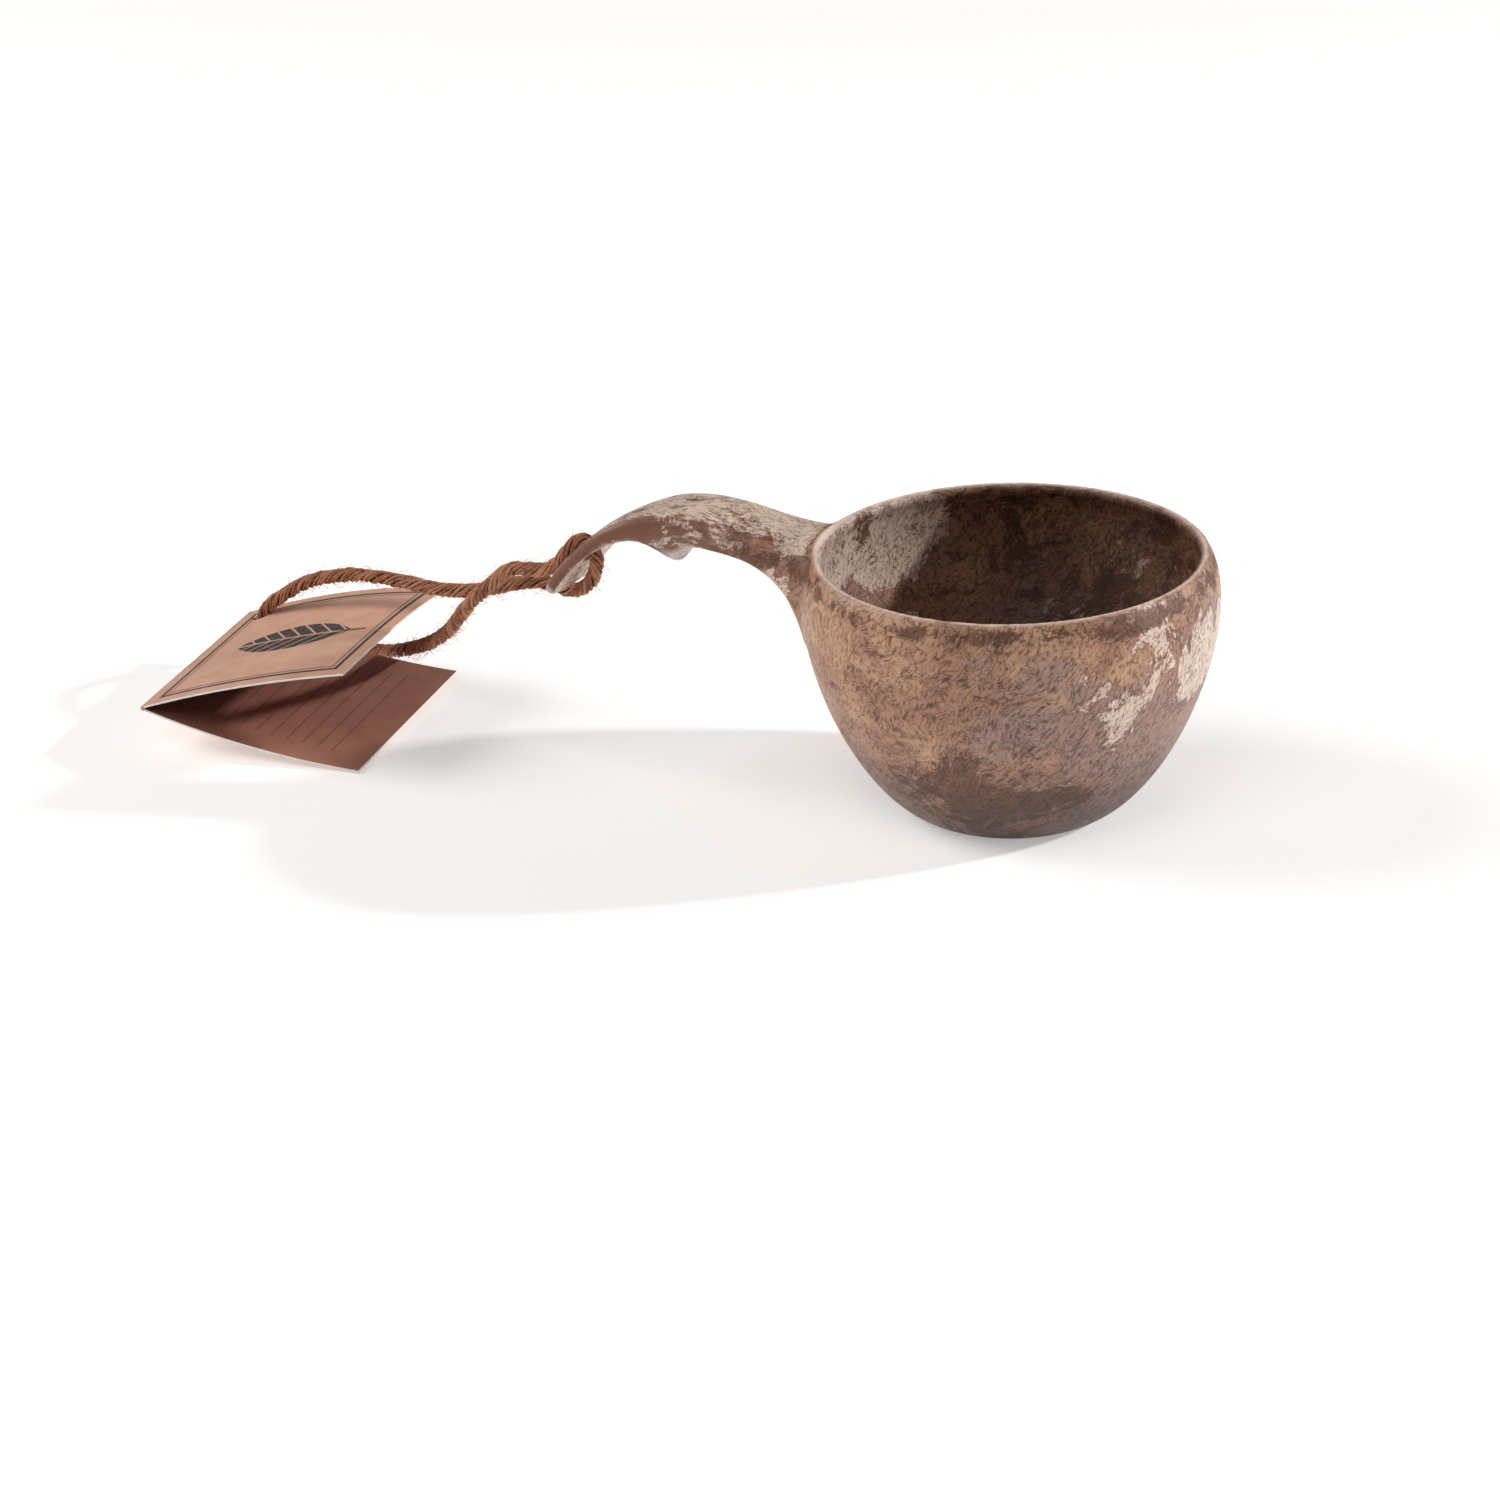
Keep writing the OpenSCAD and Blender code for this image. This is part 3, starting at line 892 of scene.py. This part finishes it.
def composite():
    """Moulded wood-fibre composite: sand patches, brown torn blotches and veins, and fine fibres, with
    painted highlight, painted bounce light and painted shade placed by the cup's values.
    """
    tan, pink, rust = (0.5, 0.295, 0.185), (0.37, 0.195, 0.125), (0.33, 0.17, 0.1)
    mauve, cream, bounce_grey = (0.33, 0.207, 0.172), (0.71, 0.57, 0.48), (0.5, 0.46, 0.45)
    red, brown, dark = (0.2, 0.078, 0.055), (0.15, 0.058, 0.03), (0.05, 0.015, 0.006)
    side_brown_and_shade, lip_highlight = (0.19, 0.072, 0.036), (1.0, 0.78, 0.68)
    # these multiply what lies below them
    hair_shade, fibre_shade, fibre_shine = (0.2, 0.1, 0.06), (0.4, 0.27, 0.21), (1.28, 1.25, 1.23)
    deep_shade = (0.13, 0.045, 0.016)
    n = Nodes("composite")
    place = n.place()
    swirl = n.warped(n.warped(place, 22, 0.016), 90, 0.005)
    grip = n.value("grip")

    def leaning(field, name, amount):
        """A noise raised where one of the cup's values is high."""
        return n.math("ADD", field, n.times(n.value(name), amount))

    def ridges(field, width):
        """A thin line wherever a noise crosses its middle."""
        return n.step(n.off(field, 0.5), 0.0, width, 1, 0)

    colour = n.mix(n.step(n.noise(swirl, 38, 8, 0.62), 0.42, 0.56), tan, pink)
    colour = n.mix(n.step(n.noise(swirl, 190, 9, 0.72), 0.52, 0.57, 0, 0.4), colour, rust)
    cloud = leaning(n.noise(swirl, 26, 7, 0.64), "mauve", 0.16)
    colour = n.mix(n.step(cloud, 0.55, 0.63, 0, 0.92), colour, mauve)
    # cream patches gather where the cup's values say, which also paints light on the handle's top and on the
    # lit left inner wall
    light = leaning(n.noise(n.stretched(swirl, (1, 1, 1.6), (0, 35, 0)), 48, 11, 0.72, 0.3), "cream_and_lit", 0.17)
    colour = n.mix(n.step(light, 0.585, 0.605, 0, 0.9), colour, cream)
    edging = n.times(n.step(light, 0.565, 0.58), n.step(light, 0.605, 0.588), 0.7)
    colour = n.mix(edging, colour, red)
    # brown blotches and veins, made denser as painted shade near the foot and inside the cup
    blotch = leaning(n.noise(n.stretched(swirl, (1.8, 1, 1), (0, -20, 0)), 75, 13, 0.8, 0.5), "blotches_and_shade", 0.1)
    torn = n.step(blotch, 0.592, 0.606, 0, 0.92)
    colour = n.mix(torn, colour, brown)
    cracked = n.step(leaning(n.noise(place, 34, 4), "blotches_and_shade", 0.1), 0.45, 0.55, 0.15, 1)
    veins = n.times(ridges(n.noise(swirl, 95, 10, 0.72, 1.0), 0.019), cracked, 0.85)
    colour = n.mix(veins, colour, dark)

    # fibres lie slanting on the bowl and lengthwise on the handle
    wavy = n.warped(n.warped(place, 40, 0.012), 130, 0.002)
    on_bowl, on_grip = n.stretched(wavy, (1, 1, 2.6), (0, 36, 0)), n.stretched(wavy, (4, 1, 1))
    not_grip = n.math("SUBTRACT", 1.0, grip)

    def fibre_field(scale, detail):
        bowl = n.times(n.noise(on_bowl, scale, detail, 0.62), not_grip)
        return n.math("ADD", bowl, n.times(n.noise(on_grip, scale, detail, 0.62), grip))

    strong = n.step(n.noise(place, 150, 7, 0.75), 0.46, 0.62, 0.1, 0.9)
    hairlines = n.times(ridges(fibre_field(520, 6), 0.04), strong)
    colour = n.mix(hairlines, colour, hair_shade, "MULTIPLY")
    fibres = fibre_field(1500, 4)
    colour = n.mix(n.step(fibres, 0.53, 0.61, 0, 0.85), colour, fibre_shade, "MULTIPLY")
    colour = n.mix(n.step(fibres, 0.47, 0.38, 0, 0.7), colour, fibre_shine, "MULTIPLY")
    fleck = n.noise(n.stretched(wavy, (1, 1, 1.8), (0, 40, 0)), 520, 8, 0.8)
    colour = n.mix(n.step(fleck, 0.62, 0.645, 0, 0.85), colour, dark)

    patchy = n.step(leaning(n.noise(swirl, 75, 10, 0.78), "cream_and_lit", -0.12), 0.36, 0.4, 0.0, 0.95)
    # the handle's sides take patchy brown: partly their own mottling, partly painted shade on faces turned
    # from the light
    colour = n.mix(n.times(n.value("side"), patchy), colour, side_brown_and_shade)
    # painted bounce light: the handle's undersides turn pale grey
    colour = n.mix(n.times(n.value("under"), 0.8), colour, bounce_grey)
    colour = n.mix(n.value("shade"), colour, deep_shade, "MULTIPLY")
    # painted highlight along the lip's top, broken up by a noise
    wear_and_highlight_breakup = n.step(n.noise(place, 260, 6, 0.7), 0.3, 0.5, 0.3, 0.95)
    colour = n.mix(n.times(n.value("lip"), wear_and_highlight_breakup), colour, lip_highlight)
    n.set(Base_Color=colour, Roughness=n.step(blotch, 0.4, 0.7, 0.38, 0.55), IOR=1.5)
    relief = n.math("SUBTRACT", n.times(fibres, -0.8), n.times(hairlines, 0.5))
    relief = n.math("SUBTRACT", relief, n.times(torn, 0.25))
    n.bump(relief, 0.45, 0.0002)
    return n.material


def jute():
    """Dyed jute: each yarn has its own tone and fibres along it, with painted shade as dark gaps beside it
    and on the inner yarns.
    """
    red_brown, orange, bright = (0.2, 0.06, 0.024), (0.47, 0.185, 0.09), (0.62, 0.30, 0.17)
    gap_shade, straw, core_shade = (0.085, 0.024, 0.01), (0.66, 0.38, 0.24), (0.03, 0.006, 0.002)
    n = Nodes("jute")
    tone = n.value("tone")
    joined = n.new("ShaderNodeCombineXYZ")
    n.put(joined.inputs[0], n.times(n.value("along"), 420.0))
    n.put(joined.inputs[1], n.value("strand"))
    fibre = n.noise(n.stretched(n.place(), (4, 1, 1), (0, -12, 0)), 4200, 4, 0.65)
    patch = n.noise(joined.outputs[0], 1.0, 3, 0.6)
    colour = n.mix(n.step(patch, 0.34, 0.66), red_brown, orange)
    colour = n.mix(n.step(tone, -0.6, 1.0, 0, 0.6), colour, bright)
    # painted shade: dark streaks that stand for the gaps between fibres
    colour = n.mix(n.step(fibre, 0.5, 0.66, 0, 0.75), colour, gap_shade)
    colour = n.mix(n.step(fibre, 0.45, 0.34, 0, 0.5), colour, straw)
    # painted shade: the inner yarns, sunk inside the cord, are made nearly black
    colour = n.mix(n.step(tone, -1.0, -2.0, 0, 0.85), colour, core_shade)
    n.set(Base_Color=colour, Roughness=0.85, Sheen_Weight=0.15)
    n.shader.inputs["Sheen Tint"].default_value = (0.9, 0.7, 0.6, 1)
    n.bump(fibre, 0.6, 0.00012)
    return n.material


def paper(name, base, fleck, relief=0.25):
    """Uncoated card with a soft mottle and fine fibres, which also raise its surface."""
    n = Nodes(name)
    fibre = n.noise(n.stretched(n.place(), (1, 0.35, 1), (0, 0, 25)), 2200, 4, 0.65)
    mottle = n.noise(n.place(), 160, 5, 0.6)
    colour = n.mix(n.step(mottle, 0.35, 0.65, 0, 0.35), base, fleck)
    colour = n.mix(n.step(fibre, 0.52, 0.75, 0, 0.35), colour, fleck)
    if relief:
        n.bump(fibre, relief, 0.00005)
    return n, colour


def printed_card():
    """The outside of the tag, with a plain leaf in a frame as its print."""
    n, colour = paper("card_outside", (0.66, 0.39, 0.29), (0.46, 0.25, 0.175))
    across, along = n.leaf_place()
    u, v = n.math("SUBTRACT", across, 0.5), n.math("SUBTRACT", along, 0.5)

    def length(a, b):
        return n.math("SQRT", n.math("ADD", n.times(a, a), n.times(b, b)))

    def within(value, limit, soft=0.004):
        return n.step(value, limit - soft, limit + soft, 1, 0)

    # a pointed leaf is where two discs overlap
    disc_at, disc_r = 0.26, 0.39
    discs = [within(length(n.math(way, v, disc_at), u), disc_r) for way in ("ADD", "SUBTRACT")]
    off_rib = n.math("ABSOLUTE", v)
    slant = n.math("ADD", u, n.times(off_rib, 0.9))
    veins = within(n.off(n.math("FRACT", n.times(slant, 13.0)), 0.5), 0.07, 0.03)
    lines = n.math("MAXIMUM", within(off_rib, 0.007), veins)
    ink = n.times(*discs, n.math("SUBTRACT", 1.0, lines))
    stalk = n.times(within(off_rib, 0.008), within(n.off(u, 0.3), 0.06))
    ink = n.math("MAXIMUM", ink, stalk)
    # the frame is two square lines: how far out, and half their width
    square = n.math("MAXIMUM", n.math("ABSOLUTE", u), off_rib)
    for at, half in ((0.435, 0.009), (0.408, 0.0035)):
        ink = n.math("MAXIMUM", ink, within(n.off(square, at), half))
    wear_and_highlight_breakup = n.step(n.noise(n.place(), 900, 4, 0.6), 0.3, 0.45, 0.7, 1.0)
    colour = n.mix(n.times(ink, wear_and_highlight_breakup), colour, (0.045, 0.04, 0.038))
    n.set(Base_Color=colour, Roughness=0.72)
    return n.material


def ruled_card():
    """The inside of the tag: redder, darker towards the fold as painted shade, with faint rules."""
    n, colour = paper("card_inside", (0.40, 0.185, 0.135), (0.27, 0.115, 0.08))
    across, along = n.leaf_place()
    rule = n.step(n.off(n.math("FRACT", n.times(across, 14.0)), 0.5), 0.04, 0.09, 1, 0)
    ink = n.times(
        rule,
        n.step(n.off(across, 0.5), 0.36, 0.365, 1, 0),
        n.step(n.off(along, 0.5), 0.37, 0.375, 1, 0),
    )
    # painted shade: the leaf darkens towards the fold
    colour = n.mix(n.step(across, 0.1, 0.75, 0.85, 0), colour, (0.5, 0.38, 0.34), "MULTIPLY")
    colour = n.mix(n.times(ink, 0.45), colour, (0.10, 0.035, 0.025))
    n.set(Base_Color=colour, Roughness=0.7)
    return n.material


def plain_card():
    n, colour = paper("card_plain", (0.56, 0.355, 0.265), (0.38, 0.22, 0.155))
    n.set(Base_Color=colour, Roughness=0.72)
    return n.material


def cut_edge():
    """The card's cut edge, which is whiter than its faces."""
    n, colour = paper("card_edge", (0.86, 0.84, 0.81), (0.7, 0.64, 0.58), relief=0)
    n.set(Base_Color=colour, Roughness=0.8)
    return n.material


def floor_white():
    n = Nodes("floor")
    n.set(Base_Color=(0.85, 0.85, 0.85), Roughness=0.9, Emission_Strength=0.36)
    n.shader.inputs["Emission Color"].default_value = (1, 1, 1, 1)
    return n.material


jute_look, plain_look = jute(), plain_card()
for piece in (upper_cord, lower_cord, knot_piece):
    piece.data.materials.append(jute_look)
cup_piece.data.materials.append(composite())
inside_look, edge_look = ruled_card(), cut_edge()
for piece, outside_look in ((front_leaf, printed_card()), (back_leaf, plain_look)):
    for look in (outside_look, inside_look, edge_look):
        piece.data.materials.append(look)
crease_piece.data.materials.append(plain_look)


# ================= floor and light =================
def stage_floor():
    shape = Shape()
    half = 6.0
    corners = np.array([(-half, -half, 0), (half, -half, 0), (half, half, 0), (-half, half, 0)])
    shape.add(corners, [(0, 1, 2, 3)])
    floor = shape.build("floor", smooth=False)
    floor.data.materials.append(floor_white())


def softbox(name, heading, height, distance, size, power, colour):
    """A light that stands at a heading from +X and a height above the floor, both in degrees."""
    data = bpy.data.lights.new(name, "AREA")
    data.shape, data.size, data.energy, data.color = "DISK", size, power, colour
    lamp = bpy.data.objects.new(name, data)
    a, e = math.radians(heading), math.radians(height)
    way = Vector((math.cos(a) * math.cos(e), math.sin(a) * math.cos(e), math.sin(e)))
    target = Vector((-0.06, 0, 0.03))
    lamp.location = target + way * distance
    lamp.rotation_mode = "QUATERNION"
    lamp.rotation_quaternion = way.to_track_quat("Z", "Y")
    bpy.context.scene.collection.objects.link(lamp)


stage_floor()
softbox("key", 18, 25, 2.2, 0.12, 36, (1.0, 0.97, 0.95))
softbox("fill", 186, 36, 2.0, 1.2, 25, (1.0, 0.94, 0.88))
softbox("front", 262, 52, 2.2, 1.4, 10, (1.0, 0.97, 0.93))

world = bpy.data.worlds.new("world")
world.use_nodes = True
world.node_tree.nodes["Background"].inputs["Color"].default_value = (0.95, 0.97, 1.0, 1)
world.node_tree.nodes["Background"].inputs["Strength"].default_value = 0.12
bpy.context.scene.world = world
bpy.context.scene.view_settings.view_transform = "Standard"
